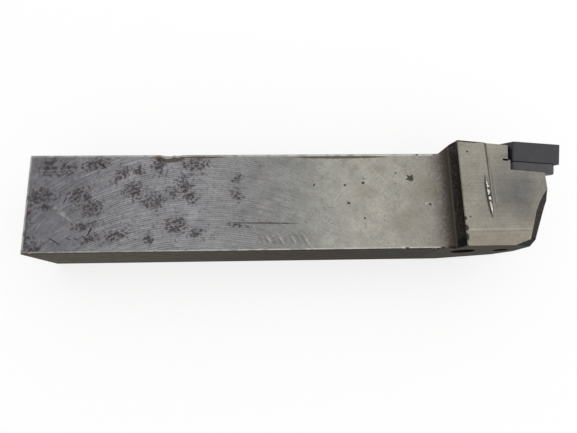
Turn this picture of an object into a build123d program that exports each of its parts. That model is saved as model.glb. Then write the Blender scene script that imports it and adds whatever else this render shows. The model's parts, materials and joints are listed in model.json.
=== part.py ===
from build123d import *

import os
from math import cos, hypot, radians, sin, tan

# Left-hand lever-lock turning tool holder with a 55 degree negative insert.
# The tool lies on the back side of its shank, as it is put down on a bench.
# +X runs along the shank to the cutting tip, +Y is the tool's own up (from the
# base face to the top face) and +Z is up from the bench, to the cutting side.
# The origin is the middle of the back side of the shank, at half length.
# All sizes are in millimetres and degrees.

os.makedirs("parts", exist_ok=True)

# ---------------------------------------------------------------- shank
OVERALL_LENGTH = 170.0
SHANK_HEIGHT = 32.0
SHANK_WIDTH = 25.0
EDGE_BREAK = 0.35
# Dents that clamping and knocks have left in the edges of the cutting side,
# each as its distance from the rear end, its length and its depth
TOP_EDGE_DENTS = [(43.7, 5.2, 1.4), (46.9, 3.6, 1.1)]
BASE_EDGE_DENTS = [(128.6, 1.6, 0.55), (133.9, 2.4, 0.5), (3.0, 1.8, 0.45)]

# ---------------------------------------------------------------- head
TIP_OVERHANG = 7.0         # cutting tip beyond the shank's cutting side
HEAD_LENGTH = 33.3         # cutting tip to the step on the cutting side
SIDE_CLEARANCE = 0.6       # cutting tip to the side face of the head
STEP_RADIUS = 5.5          # hollow corner between shank and head
HEAD_EDGE_BREAK = 0.25
RAMP_ANGLE = 36.0          # rise from the shank's top to the head's top
RAMP_LENGTH = 4.0          # foot of the rise, ahead of the step
RAMP_ROUND = 3.0           # where the rise meets the head's top
TOP_CLEARANCE = 1.3        # head's top face below the insert's top
BACK_ANGLE = 30.0          # back wall of the head, from the shank's axis
FRONT_SETBACK = 5.9        # cutting tip to the front face under the seat
NOSE_ANGLE = 61.0          # wall under the minor cutting edge, seen from above
NOSE_SETBACK = 16.3        # cutting tip to the corner of back wall and nose
NOSE_LEAN = 7.5
FOOT_SETBACK = 12.1        # cutting tip to the foot of the leaning front
FRONT_LEAN = 23.4

# Bevel on the front edge of the side face, run out below the seat
BEVEL_TOP = 18.1           # heights above the base face
BEVEL_BEND = 10.0
BEVEL_BEND_SETBACK = 10.7  # distances back from the cutting tip
BEVEL_FOOT_SETBACK = 14.1
BEVEL_ANGLE = 30.0         # from the side face
# Flat on the corner of base, side and front
CORNER_FLAT_LENGTH = 6.2
CORNER_FLAT_WIDTH = 3.5
CORNER_FLAT_HEIGHT = 2.3
# Shallow side relief beside the pocket
RELIEF_HEIGHT = 9.6
RELIEF_SETBACK = 24.1
RELIEF_SLANT = -1.0
RELIEF_TILT = 1.3
RELIEF_WALL = 62.0         # lean of the relief's wall, from square

# ---------------------------------------------------------------- insert and seat
APPROACH_LEAD = 3.0        # cutting edge against the shank's axis
INCLINATION = 6.0          # fall along the cutting edge, to the tip
RAKE = 6.0                 # fall across, to the cutting edge
CORNER_ANGLE = 55.0
INSCRIBED_CIRCLE = 12.7
INSERT_THICKNESS = 6.35
NOSE_RADIUS = 0.8
INSERT_HOLE = 5.16
HOLE_FLARE = 0.45
EDGE_LAND = 0.25
GROOVE_WIDTH = 1.7
GROOVE_DEPTH = 0.3
GROOVE_SLOPE = 55.0
SHIM_THICKNESS = 3.18
SHIM_INSET = 0.3
SHIM_NOSE_RADIUS = 1.5
CORNER_RELIEF_RADIUS = 1.4
WALL_CUTBACK = 1.9         # pocket wall behind the insert's outer corner
SHIM_CUTBACK = 1.15        # the same wall beside the shim
UNDERCUT_DEPTH = 1.7
UNDERCUT_HEIGHT = 0.7

# ---------------------------------------------------------------- lever lock
LEVER_DIRECTION = 8.0      # insert hole to clamp screw, from the shank's axis
LEVER_REACH = 15.6         # insert hole to clamp screw
SCREW_BORE = 7.9
SCREW_FIT = 0.07           # radial clearance of the thread, drawn plain
SCREW_RECESS = 1.6         # screw's end below the head's top face
SCREW_TAIL = 2.6
COLLAR_DIAMETER = 6.3
GROOVE_CORE = 4.4
TOP_KEY = 3.0
TAIL_KEY = 2.5
KEY_DEPTH = 4.5
TAIL_KEY_DEPTH = 1.6
SLEEVE_OUTER = 6.6
SLEEVE_WALL = 0.65
SLEEVE_FIT = 0.04
SLEEVE_DEPTH = 2.6         # sleeve below the seat
SLEEVE_SLIT = 1.2
CHANNEL_WIDTH = 5.4        # channel that holds the lever
CHANNEL_DEPTH = 9.6
CHANNEL_ROOF = 4.7
CHANNEL_MOUTH = 10.0       # length of the channel's opening in the seat
KNOCKOUT_DIAMETER = 4.8
KNOCKOUT_OFFSET = 3.7
LEVER_GAP = 0.1            # lever's heel in its corner of the channel
HEEL_RADIUS = 1.6
KNEE_TOP = -4.2            # height of the knee, from the seat
KNEE_RADIUS = 2.0
KNEE_RELIEF = 0.5          # room in front of the knee for the swing
ARM_DIAMETER = 3.4
LEVER_HEAD_DIAMETER = 4.1
LEVER_HEAD_HEIGHT = 3.2
HEAD_CROWN = 0.25
HEAD_ENGAGEMENT = 3.4      # middle of the lever's head above the insert's foot
FOOT_THICKNESS = 2.9
FOOT_RISE = 0.45           # lever's foot above the floor when clamped
FOOT_PLAY = 0.22
FOOT_TIP_RADIUS = 1.6
CLAMP_ANGLE = 3.0          # lever's swing between released and clamped

# ---------------------------------------------------------------- derived places
REAR_X = -OVERALL_LENGTH / 2
TIP_X = OVERALL_LENGTH / 2
BASE_Y = -SHANK_HEIGHT / 2
TOP_Y = SHANK_HEIGHT / 2
TIP_OFFSET = SHANK_WIDTH + TIP_OVERHANG
HEAD_X = TIP_X - HEAD_LENGTH
SIDE_Z = TIP_OFFSET - SIDE_CLEARANCE
FRONT_X = TIP_X - FRONT_SETBACK
ABOVE = SHANK_HEIGHT + TIP_OFFSET     # well clear of the tool on every side

EDGE_LENGTH = INSCRIBED_CIRCLE / sin(radians(CORNER_ANGLE))
HALF_CORNER = radians(CORNER_ANGLE / 2)

# Directions on the insert's plane: back along the edge, and into the head
edge_back = Vector(-cos(radians(APPROACH_LEAD)), 0, -sin(radians(APPROACH_LEAD)))
edge_in = Vector(sin(radians(APPROACH_LEAD)), 0, -cos(radians(APPROACH_LEAD)))
slope_back = tan(radians(INCLINATION))
slope_in = tan(radians(RAKE))


def on_seat(direction):
    """Lift a level direction so that it lies in the tilted seat."""
    rise = slope_back * direction.dot(edge_back) + slope_in * direction.dot(edge_in)
    return (direction + Vector(0, rise, 0)).normalized()


seat_normal = (Vector(0, 1, 0) - edge_back * slope_back - edge_in * slope_in).normalized()
edge_direction = on_seat(edge_back)
across_direction = edge_direction.cross(seat_normal)

# The nose circle touches the tool's length and its functional width
to_hole = edge_direction * cos(HALF_CORNER) + across_direction * sin(HALF_CORNER)
nose_centre = Vector(TIP_X - NOSE_RADIUS, TOP_Y, TIP_OFFSET - NOSE_RADIUS)
sharp_corner = nose_centre - to_hole * (NOSE_RADIUS / sin(HALF_CORNER))
sharp_corner = Vector(sharp_corner.X, TOP_Y, sharp_corner.Z)

insert_top = Plane(origin=sharp_corner, x_dir=edge_direction, z_dir=seat_normal)
insert_foot = insert_top.offset(-INSERT_THICKNESS)
seat = insert_foot.offset(-SHIM_THICKNESS)

# Corners of the rhombic insert in its own plane
CORNER_TIP = Vector(0, 0)
CORNER_OUTER = Vector(EDGE_LENGTH, 0)
side_step = Vector(cos(radians(CORNER_ANGLE)), -sin(radians(CORNER_ANGLE))) * EDGE_LENGTH
CORNER_FRONT = CORNER_TIP + side_step
CORNER_INNER = CORNER_OUTER + side_step
HOLE_CENTRE = CORNER_INNER * 0.5

# Lever plane: origin on the seat under the insert's hole, x to the clamp screw
lever_level = Vector(-cos(radians(LEVER_DIRECTION)), 0, -sin(radians(LEVER_DIRECTION)))
lever_seat = Plane(
    origin=seat.from_local_coords(HOLE_CENTRE),
    x_dir=on_seat(lever_level),
    z_dir=seat_normal,
)
# Side view of the lever: local x to the screw, local y up from the seat
lever_side = Plane(origin=lever_seat.origin, x_dir=lever_seat.x_dir, z_dir=-lever_seat.y_dir)

STACK_HEIGHT = SHIM_THICKNESS + INSERT_THICKNESS
HEAD_TOP = STACK_HEIGHT - TOP_CLEARANCE            # all heights above the seat
SCREW_TOP = HEAD_TOP - SCREW_RECESS
FOOT_BOTTOM = -CHANNEL_DEPTH + FOOT_RISE
FOOT_TOP = FOOT_BOTTOM + FOOT_THICKNESS
GROOVE_BOTTOM = FOOT_BOTTOM - FOOT_PLAY
GROOVE_TOP = FOOT_TOP + FOOT_PLAY
SCREW_RADIUS = SCREW_BORE / 2 - SCREW_FIT
FOOT_END = LEVER_REACH - GROOVE_CORE / 2 - FOOT_PLAY
HEEL_X = -CHANNEL_WIDTH / 2 + LEVER_GAP + HEEL_RADIUS
HEEL_HEIGHT = -CHANNEL_DEPTH + LEVER_GAP + HEEL_RADIUS
LEVER_HEAD_CENTRE = SHIM_THICKNESS + HEAD_ENGAGEMENT
CLAMP_LEAN = tan(radians(CLAMP_ANGLE))
# Clamped, the lever's head lies against the screw's side of the insert's hole
HEAD_X_CLAMPED = INSERT_HOLE / 2 - LEVER_HEAD_DIAMETER / 2 - LEVER_GAP


def rhombus(inset=0.0, radius=NOSE_RADIUS):
    """Rounded outline of the insert, drawn inside the true edge by inset."""
    with BuildSketch() as outline:
        with BuildLine():
            Polyline(CORNER_TIP, CORNER_OUTER, CORNER_INNER, CORNER_FRONT, close=True)
        make_face()
        if inset > 0:
            offset(amount=-inset, kind=Kind.INTERSECTION)
        fillet(outline.vertices(), radius)
    return outline.sketch


def dent_ball(length, depth):
    """Stand-off from both faces and radius of a ball that dents their edge."""
    reach = (length / 2) ** 2 / depth
    standoff = (reach - depth) / 2
    return standoff, hypot(standoff, standoff + depth)


# ================================================================ holder body
with BuildPart() as holder_body:
    # The plan: shank, hollow step, side face, front and slanting back wall
    back_reach = (FRONT_X - HEAD_X) * tan(radians(BACK_ANGLE))
    with BuildSketch(Plane.XZ.offset(-BASE_Y)):
        with BuildLine():
            Polyline(
                (HEAD_X - STEP_RADIUS, SHANK_WIDTH),
                (REAR_X, SHANK_WIDTH),
                (REAR_X, 0),
                (HEAD_X, 0),
                (FRONT_X, back_reach),
                (FRONT_X, SIDE_Z),
                (HEAD_X, SIDE_Z),
                (HEAD_X, SHANK_WIDTH + STEP_RADIUS),
            )
            RadiusArc(
                (HEAD_X, SHANK_WIDTH + STEP_RADIUS),
                (HEAD_X - STEP_RADIUS, SHANK_WIDTH),
                STEP_RADIUS,
            )
        make_face()
    extrude(amount=-ABOVE)
    # The side view: shank, rise and a head that is trimmed below
    ramp_x = HEAD_X - RAMP_LENGTH
    ramp_rise = (FRONT_X - ramp_x) * tan(radians(RAMP_ANGLE))
    with BuildSketch(Plane.XY):
        with BuildLine():
            Polyline(
                (REAR_X, BASE_Y),
                (FRONT_X, BASE_Y),
                (FRONT_X, TOP_Y + ramp_rise),
                (ramp_x, TOP_Y),
                (REAR_X, TOP_Y),
                close=True,
            )
        make_face()
    extrude(amount=ABOVE, mode=Mode.INTERSECT)
    # The head's top lies parallel to the insert
    split(bisect_by=insert_top.offset(-TOP_CLEARANCE), keep=Keep.BOTTOM)
    # The rise rounds over into the head's top
    top_edge = holder_body.edges().filter_by(
        lambda edge: edge.center().Y > TOP_Y + RAMP_ROUND and abs(edge.center().X - HEAD_X) < STEP_RADIUS
    )
    fillet(top_edge.sort_by(SortBy.LENGTH)[-1], RAMP_ROUND)
    # The front leans forward over its foot
    front_normal = Vector(cos(radians(FRONT_LEAN)), -sin(radians(FRONT_LEAN)), 0)
    front_foot = Plane(origin=(TIP_X - FOOT_SETBACK, BASE_Y, 0), z_dir=front_normal)
    split(bisect_by=front_foot, keep=Keep.BOTTOM)
    # The nose wall under the minor cutting edge
    nose_level = Vector(sin(radians(NOSE_ANGLE)), 0, -cos(radians(NOSE_ANGLE)))
    nose_normal = nose_level * cos(radians(NOSE_LEAN)) - Vector(0, sin(radians(NOSE_LEAN)), 0)
    nose_x = TIP_X - NOSE_SETBACK
    nose_foot = Vector(nose_x, BASE_Y, (nose_x - HEAD_X) * tan(radians(BACK_ANGLE)))
    split(bisect_by=Plane(origin=nose_foot, z_dir=nose_normal), keep=Keep.BOTTOM)
    # Bevel on the front edge of the side face, run out in a hollow curve
    bevel_foot = Vector(TIP_X - BEVEL_FOOT_SETBACK, BASE_Y)
    bevel_bend = Vector(TIP_X - BEVEL_BEND_SETBACK, BASE_Y + BEVEL_BEND)
    bevel_end = Vector(FRONT_X, BASE_Y + BEVEL_TOP)
    with BuildSketch(Plane.XY.offset(SIDE_Z)):
        with BuildLine():
            Line(bevel_foot, bevel_bend)
            TangentArc(bevel_bend, bevel_end, tangent=bevel_bend - bevel_foot)
            Polyline(
                bevel_end,
                bevel_end + Vector(FRONT_SETBACK, 0),
                (TIP_X, BASE_Y),
                bevel_foot,
            )
        make_face()
    bevel_direction = Vector(1, 0, -tan(radians(BEVEL_ANGLE)))
    extrude(amount=SIDE_CLEARANCE + TIP_OFFSET / 4, dir=bevel_direction, mode=Mode.SUBTRACT)
    # Flat on the corner where base, side and front meet
    corner = Vector(TIP_X - FOOT_SETBACK, BASE_Y, SIDE_Z)
    flat_normal = Vector(1 / CORNER_FLAT_LENGTH, -1 / CORNER_FLAT_HEIGHT, 1 / CORNER_FLAT_WIDTH)
    flat_plane = Plane(origin=corner - Vector(CORNER_FLAT_LENGTH, 0, 0), z_dir=flat_normal)
    split(bisect_by=flat_plane, keep=Keep.BOTTOM)
    # Shallow relief of the side face, deepest beside the insert
    relief_normal = Vector(0, sin(radians(RELIEF_TILT)), cos(radians(RELIEF_TILT)))
    relief_start = Vector(TIP_X - RELIEF_SETBACK, BASE_Y + RELIEF_HEIGHT, SIDE_Z)
    relief_plane = Plane(origin=relief_start, x_dir=(1, 0, 0), z_dir=relief_normal)
    with BuildSketch(relief_plane):
        with BuildLine():
            Polyline(
                (0, 0),
                (RELIEF_SETBACK, 0),
                (RELIEF_SETBACK, SHANK_HEIGHT),
                (-SHANK_HEIGHT * tan(radians(RELIEF_SLANT)), SHANK_HEIGHT),
                close=True,
            )
        make_face()
    extrude(amount=SIDE_CLEARANCE, taper=-RELIEF_WALL, mode=Mode.SUBTRACT)
    # Broken edges of the shank, before the holes open more edges on its faces
    long_edges = holder_body.edges().filter_by(Axis.X)
    long_edges = long_edges.filter_by(lambda edge: edge.length > OVERALL_LENGTH / 2)
    end_edges = holder_body.faces().sort_by(Axis.X)[0].edges()
    chamfer(long_edges + end_edges, EDGE_BREAK)
    # Broken edge between the step and the side face
    step_edge = holder_body.edges().filter_by(Axis.Y).filter_by(
        lambda edge: abs(edge.center().X - HEAD_X) < EDGE_BREAK and edge.center().Z > SIDE_Z - EDGE_BREAK
    )
    chamfer(step_edge, HEAD_EDGE_BREAK)
    # Dents in the edges of the cutting side
    for face_y, dents in ((TOP_Y, TOP_EDGE_DENTS), (BASE_Y, BASE_EDGE_DENTS)):
        outward = face_y / TOP_Y
        for place, length, depth in dents:
            standoff, radius = dent_ball(length, depth)
            with Locations((REAR_X + place, face_y + outward * standoff, SHANK_WIDTH + standoff)):
                Sphere(radius, mode=Mode.SUBTRACT)
    # Pocket for shim and insert, open to the front and the side, wider at the insert
    for floor, cutback in ((seat, SHIM_CUTBACK), (insert_foot, WALL_CUTBACK)):
        wall_end = CORNER_OUTER + side_step.normalized() * (cutback / cos(radians(CORNER_ANGLE)))
        with BuildSketch(floor):
            with BuildLine():
                Polyline(
                    CORNER_INNER,
                    wall_end,
                    wall_end + Vector(0, TIP_OFFSET / 2),
                    (-EDGE_LENGTH, TIP_OFFSET / 2),
                    CORNER_FRONT - Vector(EDGE_LENGTH * 2, 0),
                    close=True,
                )
            make_face()
            with Locations(CORNER_INNER):
                Circle(CORNER_RELIEF_RADIUS)
        extrude(amount=ABOVE, mode=Mode.SUBTRACT)
    # Undercut in the cut-back wall, level with the insert's foot
    with BuildSketch(insert_foot.offset(-UNDERCUT_HEIGHT / 2)):
        with BuildLine():
            Polyline(
                wall_end,
                wall_end + Vector(UNDERCUT_DEPTH, 0),
                wall_end + Vector(UNDERCUT_DEPTH, TIP_OFFSET / 2),
                wall_end + Vector(0, TIP_OFFSET / 2),
                close=True,
            )
        make_face()
    extrude(amount=UNDERCUT_HEIGHT, mode=Mode.SUBTRACT)
    # Channel for the lever, with its mouth in the seat and a roof behind it
    with BuildSketch(lever_seat):
        with Locations(((CHANNEL_MOUTH - CHANNEL_WIDTH) / 2, 0)):
            SlotOverall(CHANNEL_MOUTH, CHANNEL_WIDTH)
    extrude(amount=-CHANNEL_DEPTH, mode=Mode.SUBTRACT)
    with BuildSketch(lever_seat.offset(-CHANNEL_DEPTH)):
        with Locations((LEVER_REACH / 2, 0)):
            SlotCenterToCenter(LEVER_REACH, CHANNEL_WIDTH)
    extrude(amount=CHANNEL_DEPTH - CHANNEL_ROOF, mode=Mode.SUBTRACT)
    # Seat of the sleeve, bore of the clamp screw and knockout hole
    with BuildSketch(lever_seat):
        Circle(SLEEVE_OUTER / 2 + SLEEVE_FIT)
    extrude(amount=-SLEEVE_DEPTH, mode=Mode.SUBTRACT)
    with BuildSketch(lever_seat):
        with Locations((LEVER_REACH, 0)):
            Circle(SCREW_BORE / 2)
    extrude(amount=ABOVE, both=True, mode=Mode.SUBTRACT)
    with BuildSketch(lever_seat):
        with Locations((KNOCKOUT_OFFSET, 0)):
            Circle(KNOCKOUT_DIAMETER / 2)
    extrude(amount=-ABOVE, mode=Mode.SUBTRACT)
holder_body.part.label = "holder_body"
export_step(holder_body.part, "parts/holder_body.step")


# ================================================================ shim
with BuildPart() as shim:
    with BuildSketch(insert_foot):
        add(rhombus(SHIM_INSET, SHIM_NOSE_RADIUS))
    extrude(amount=-SHIM_THICKNESS)
    chamfer(shim.faces().filter_by(Plane(origin=(0, 0, 0), z_dir=seat_normal)).edges(), 0.2)
    with BuildSketch(lever_seat):
        Circle(SLEEVE_OUTER / 2 + SLEEVE_FIT)
    extrude(amount=STACK_HEIGHT, mode=Mode.SUBTRACT)
shim.part.label = "shim"
export_step(shim.part, "parts/shim.step")


# ================================================================ shim sleeve
# A split spring sleeve pins the shim to the holder; the lever passes through it
with BuildPart() as shim_sleeve:
    with BuildSketch(lever_seat.offset(-SLEEVE_DEPTH)):
        Circle(SLEEVE_OUTER / 2)
        Circle(SLEEVE_OUTER / 2 - SLEEVE_WALL, mode=Mode.SUBTRACT)
        with Locations((0, -SLEEVE_OUTER / 2)):
            Rectangle(SLEEVE_SLIT, SLEEVE_OUTER, mode=Mode.SUBTRACT)
    extrude(amount=SLEEVE_DEPTH + SHIM_THICKNESS - SLEEVE_FIT)
shim_sleeve.part.label = "shim_sleeve"
export_step(shim_sleeve.part, "parts/shim_sleeve.step")


# ================================================================ cutting insert
# Both faces are alike, so one half is made and mirrored
with BuildPart() as cutting_insert:
    with BuildSketch(insert_top):
        add(rhombus())
    extrude(amount=-INSERT_THICKNESS / 2)
    # The chip groove runs round the face, inside a narrow land
    with BuildSketch(insert_top):
        add(rhombus(EDGE_LAND))
        add(rhombus(EDGE_LAND + GROOVE_WIDTH), mode=Mode.SUBTRACT)
    extrude(amount=-GROOVE_DEPTH, taper=GROOVE_SLOPE, mode=Mode.SUBTRACT)
    mirror(about=insert_top.offset(-INSERT_THICKNESS / 2))
    with BuildSketch(lever_seat):
        Circle(INSERT_HOLE / 2)
    extrude(amount=STACK_HEIGHT * 2, mode=Mode.SUBTRACT)
    hole_rims = cutting_insert.edges().filter_by(GeomType.CIRCLE)
    hole_rims = hole_rims.filter_by(lambda edge: abs(edge.radius - INSERT_HOLE / 2) < HOLE_FLARE / 2)
    chamfer(hole_rims, HOLE_FLARE)
cutting_insert.part.label = "cutting_insert"
export_step(cutting_insert.part, "parts/cutting_insert.step")


# ================================================================ clamp screw
with BuildPart() as clamp_screw:
    tail_end = GROOVE_BOTTOM - SCREW_TAIL
    with BuildSketch(lever_side):
        with BuildLine():
            Polyline(
                (LEVER_REACH, tail_end),
                (LEVER_REACH + COLLAR_DIAMETER / 2, tail_end),
                (LEVER_REACH + COLLAR_DIAMETER / 2, GROOVE_BOTTOM),
                (LEVER_REACH + GROOVE_CORE / 2, GROOVE_BOTTOM),
                (LEVER_REACH + GROOVE_CORE / 2, GROOVE_TOP),
                (LEVER_REACH + SCREW_RADIUS, GROOVE_TOP),
                (LEVER_REACH + SCREW_RADIUS, SCREW_TOP),
                (LEVER_REACH, SCREW_TOP),
                close=True,
            )
        make_face()
    screw_axis = Axis(lever_side.from_local_coords((LEVER_REACH, 0)), seat_normal)
    revolve(axis=screw_axis)
    ends = clamp_screw.faces().filter_by(Plane(origin=(0, 0, 0), z_dir=seat_normal))
    chamfer(ends.sort_by(screw_axis)[0].edges() + ends.sort_by(screw_axis)[-1].edges(), EDGE_BREAK)
    with BuildSketch(lever_seat.offset(SCREW_TOP)):
        with Locations((LEVER_REACH, 0)):
            RegularPolygon(TOP_KEY / 2, 6, major_radius=False)
    extrude(amount=-KEY_DEPTH, mode=Mode.SUBTRACT)
    with BuildSketch(lever_seat.offset(tail_end)):
        with Locations((LEVER_REACH, 0)):
            RegularPolygon(TAIL_KEY / 2, 6, major_radius=False)
    extrude(amount=TAIL_KEY_DEPTH, mode=Mode.SUBTRACT)
clamp_screw.part.label = "clamp_screw"
export_step(clamp_screw.part, "parts/clamp_screw.step")


# ================================================================ lever
# Drawn clamped: the arm leans towards the screw by the clamping angle
def arm_x(height):
    """Middle of the leaning arm at a height above the seat."""
    return HEAD_X_CLAMPED - (LEVER_HEAD_CENTRE - height) * CLAMP_LEAN


arm_direction = (seat_normal + lever_seat.x_dir * CLAMP_LEAN).normalized()
arm_side = Plane(
    origin=lever_side.from_local_coords((arm_x(0), 0)),
    x_dir=arm_direction.cross(lever_side.z_dir),
    z_dir=lever_side.z_dir,
)

with BuildPart() as lever:
    # Knee and foot: a tapering bar, narrow where it enters the screw's groove
    heel_half = CHANNEL_WIDTH / 2 - LEVER_GAP
    with BuildSketch(lever_seat.offset(-CHANNEL_DEPTH)):
        with Locations((KNEE_RADIUS - heel_half, 0)):
            Circle(KNEE_RADIUS)
        with Locations((FOOT_END - FOOT_TIP_RADIUS, 0)):
            Circle(FOOT_TIP_RADIUS)
        make_hull()
    extrude(amount=CHANNEL_DEPTH)
    with BuildSketch(lever_side):
        with BuildLine():
            CenterArc((HEEL_X, HEEL_HEIGHT), HEEL_RADIUS, 180, 90)
            Polyline(
                (HEEL_X, HEEL_HEIGHT - HEEL_RADIUS),
                (HEEL_X + HEEL_RADIUS, HEEL_HEIGHT - HEEL_RADIUS),
                (HEEL_X + HEEL_RADIUS + FOOT_THICKNESS, FOOT_BOTTOM),
                (FOOT_END, FOOT_BOTTOM),
                (FOOT_END, FOOT_TOP),
                (heel_half + FOOT_THICKNESS, FOOT_TOP),
                (heel_half, KNEE_TOP),
                (KNEE_RELIEF - heel_half, KNEE_TOP),
                (HEEL_X - HEEL_RADIUS, HEEL_HEIGHT),
            )
        make_face()
    extrude(amount=CHANNEL_WIDTH, both=True, mode=Mode.INTERSECT)
    # The leaning arm, with a barrel-shaped head inside the insert's hole
    head_radius = LEVER_HEAD_DIAMETER / 2
    head_foot = LEVER_HEAD_CENTRE - LEVER_HEAD_HEIGHT / 2
    head_end = LEVER_HEAD_CENTRE + LEVER_HEAD_HEIGHT / 2
    end_radius = head_radius - HEAD_CROWN
    with BuildSketch(arm_side):
        with BuildLine():
            Polyline(
                (0, head_end),
                (0, FOOT_TOP),
                (head_radius, FOOT_TOP),
                (head_radius, KNEE_TOP),
                (ARM_DIAMETER / 2, KNEE_TOP + ARM_DIAMETER / 2),
                (ARM_DIAMETER / 2, head_foot - HEAD_CROWN),
                (end_radius, head_foot),
            )
            ThreePointArc((end_radius, head_foot), (head_radius, LEVER_HEAD_CENTRE), (end_radius, head_end))
            Line((end_radius, head_end), (0, head_end))
        make_face()
    revolve(axis=Axis(arm_side.origin, arm_direction))
lever.part.label = "lever"
export_step(lever.part, "parts/lever.step")
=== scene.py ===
# %% [markdown]
# # A used turning tool holder
# This lesson dresses a lever-lock turning tool in Blender. The steel holder carries
# a rhombic carbide insert on a carbide shim, and a lever inside the head, drawn back
# by a screw, holds the insert in its pocket. The solid parts arrive finished in size
# and place. What is made here is what the eye reads first: milled steel with rust
# stains and scratches, black unground faces, a dark insert, the screw's thread and a
# chewed burr on the side of the head.

# %% Load the solid parts
import json
from math import ceil, radians, tan, tau

import bpy
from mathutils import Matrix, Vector


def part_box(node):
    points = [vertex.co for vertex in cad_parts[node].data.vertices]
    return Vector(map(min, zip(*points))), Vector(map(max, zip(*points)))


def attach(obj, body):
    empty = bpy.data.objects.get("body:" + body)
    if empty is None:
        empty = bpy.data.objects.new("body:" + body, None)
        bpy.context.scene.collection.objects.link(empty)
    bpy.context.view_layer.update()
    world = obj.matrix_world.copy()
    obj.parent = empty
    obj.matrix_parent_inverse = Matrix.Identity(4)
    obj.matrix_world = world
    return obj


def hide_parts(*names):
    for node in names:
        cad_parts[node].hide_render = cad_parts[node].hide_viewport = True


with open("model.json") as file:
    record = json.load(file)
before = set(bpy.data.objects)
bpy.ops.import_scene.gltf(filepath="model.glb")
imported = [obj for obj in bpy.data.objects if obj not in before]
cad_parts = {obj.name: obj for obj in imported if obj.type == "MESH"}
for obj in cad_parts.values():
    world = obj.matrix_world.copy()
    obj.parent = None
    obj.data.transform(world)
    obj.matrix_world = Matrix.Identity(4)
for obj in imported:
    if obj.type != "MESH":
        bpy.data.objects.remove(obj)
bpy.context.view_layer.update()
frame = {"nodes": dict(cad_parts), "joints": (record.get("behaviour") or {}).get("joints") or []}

parts = frame["nodes"]
for name in parts:
    low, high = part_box(name)
    print(name, [round(size * 1000, 1) for size in high - low], "mm")

# %% [markdown]
# ## Working in millimetres
# A tool drawing speaks in millimetres and Blender works in metres. One named factor
# turns one into the other, so that every size below can be read as on a drawing.

# %% Units and colours
MM = 0.001


def linear(hex_code):
    """Turn an sRGB hex colour into the linear values that Blender's shaders expect."""
    channels = [int(hex_code[at:at + 2], 16) / 255 for at in (1, 3, 5)]
    return (*(c / 12.92 if c <= 0.04045 else ((c + 0.055) / 1.055) ** 2.4 for c in channels), 1.0)


print("mid grey in linear light:", round(linear("#808080")[0], 3))

# %% [markdown]
# ## The camera
# The tool lies on the back side of its shank and is seen from almost straight above,
# a little from the side of its base, through a moderately wide lens close by. That is
# why the base shows as a narrow dark strip and the far edges draw together.

# %% Place the camera
CAMERA_PLACE = (-0.0082054, -0.0361594, 0.1663267)
CAMERA_TURN = (12.483, -2.0864, -1.0681)     # degrees about X, Y and Z
LENS = 28.402
SENSOR_WIDTH = 36.0

camera = bpy.data.objects.new("camera", bpy.data.cameras.new("camera"))
bpy.context.scene.collection.objects.link(camera)
camera.location = CAMERA_PLACE
camera.rotation_euler = [radians(turn) for turn in CAMERA_TURN]
camera.data.lens = LENS
camera.data.sensor_width = SENSOR_WIDTH
camera.data.sensor_fit = "HORIZONTAL"
camera.data.clip_start = 5 * MM
bpy.context.scene.camera = camera
print("camera stands", round(camera.location.z / MM), "mm above the bench")

# %% [markdown]
# ## Building materials from nodes
# Every finish is a network of small nodes. One helper adds a node, sets its options
# and fills its inputs, with plain values or with links from other nodes, and returns
# the output asked for, so that a network reads from the inside out. Two nodes do most
# of the work below. Map Range with a smooth step makes a soft mask out of a place or
# a noise, and its highest value may itself be a mask, which multiplies the two. Mix
# lays colour B over colour A where its factor says.

# %% A helper that adds a node
def add(tree, kind, inputs, out=0, **settings):
    """Add a node with its settings, fill its inputs with values or links, return an output."""
    made = tree.nodes.new("ShaderNode" + kind)
    for setting, value in settings.items():
        setattr(made, setting, value)
    for socket, value in inputs.items():
        if isinstance(value, bpy.types.NodeSocket):
            tree.links.new(value, made.inputs[socket])
        else:
            made.inputs[socket].default_value = value
    return made.outputs[out]


kinds = [kind for kind in dir(bpy.types) if kind.startswith("ShaderNode")]
print("Blender has", len(kinds), "kinds of shader node")

# %% [markdown]
# ## The holder's steel
# The holder is an alloy steel bar, hardened and tempered, with its long faces
# machined. Handling has greyed it, and damp has stained it towards the rear. The faces
# that no cutter touched after hardening, such as the hollow behind the head, the bevel
# strip and the walls of the pocket, are still black with oxide. One material can tell
# them all apart, by the way they face and by where they lie, so nothing is cut up.

# %% Sizes that the steel's patterns follow
body_low, body_high = [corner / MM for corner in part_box("holder_body")]
REAR = body_low.x
BASE = body_low.y
TOP = -BASE                             # the shank is centred on its own height
HEAD_SIDE = body_high.z
SHANK_SIDE = 25.0                       # height of the cutting side above the bench
STEP_START = 46.2                       # a hollow rises from here to the head
STEP_END = 51.7
BEVEL_START = STEP_END + 10             # the bevel strip runs along the head's front
print("shank from", round(REAR, 1), "mm, head's side", round(HEAD_SIDE, 1), "mm up")

# %% Start the steel
FILM_GLOSS = 0.2                        # a dry oil film mirrors less than lacquer would


def start_material(name, metallic, roughness):
    """A new material, its node tree, its main shader and its Object coordinates in mm."""
    material = bpy.data.materials.new(name)
    material.use_nodes = True
    tree = material.node_tree
    shader = tree.nodes["Principled BSDF"]
    shader.inputs["Metallic"].default_value = metallic
    shader.inputs["Roughness"].default_value = roughness
    metres = add(tree, "TexCoord", {}, out="Object")
    place = add(tree, "VectorMath", {0: metres, "Scale": 1 / MM}, operation="SCALE")
    return material, tree, shader, place


steel, tree, shader, place = start_material("milled_alloy_steel", 1.0, 0.42)
shader.inputs["Specular IOR Level"].default_value = FILM_GLOSS
x, y, z = add(tree, "SeparateXYZ", {0: place}).node.outputs
facing = add(tree, "NewGeometry", {}, out="Normal")
facing_x, facing_y, facing_z = add(tree, "SeparateXYZ", {0: facing}).node.outputs
print(steel.name, "starts with", len(tree.nodes), "nodes")

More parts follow.
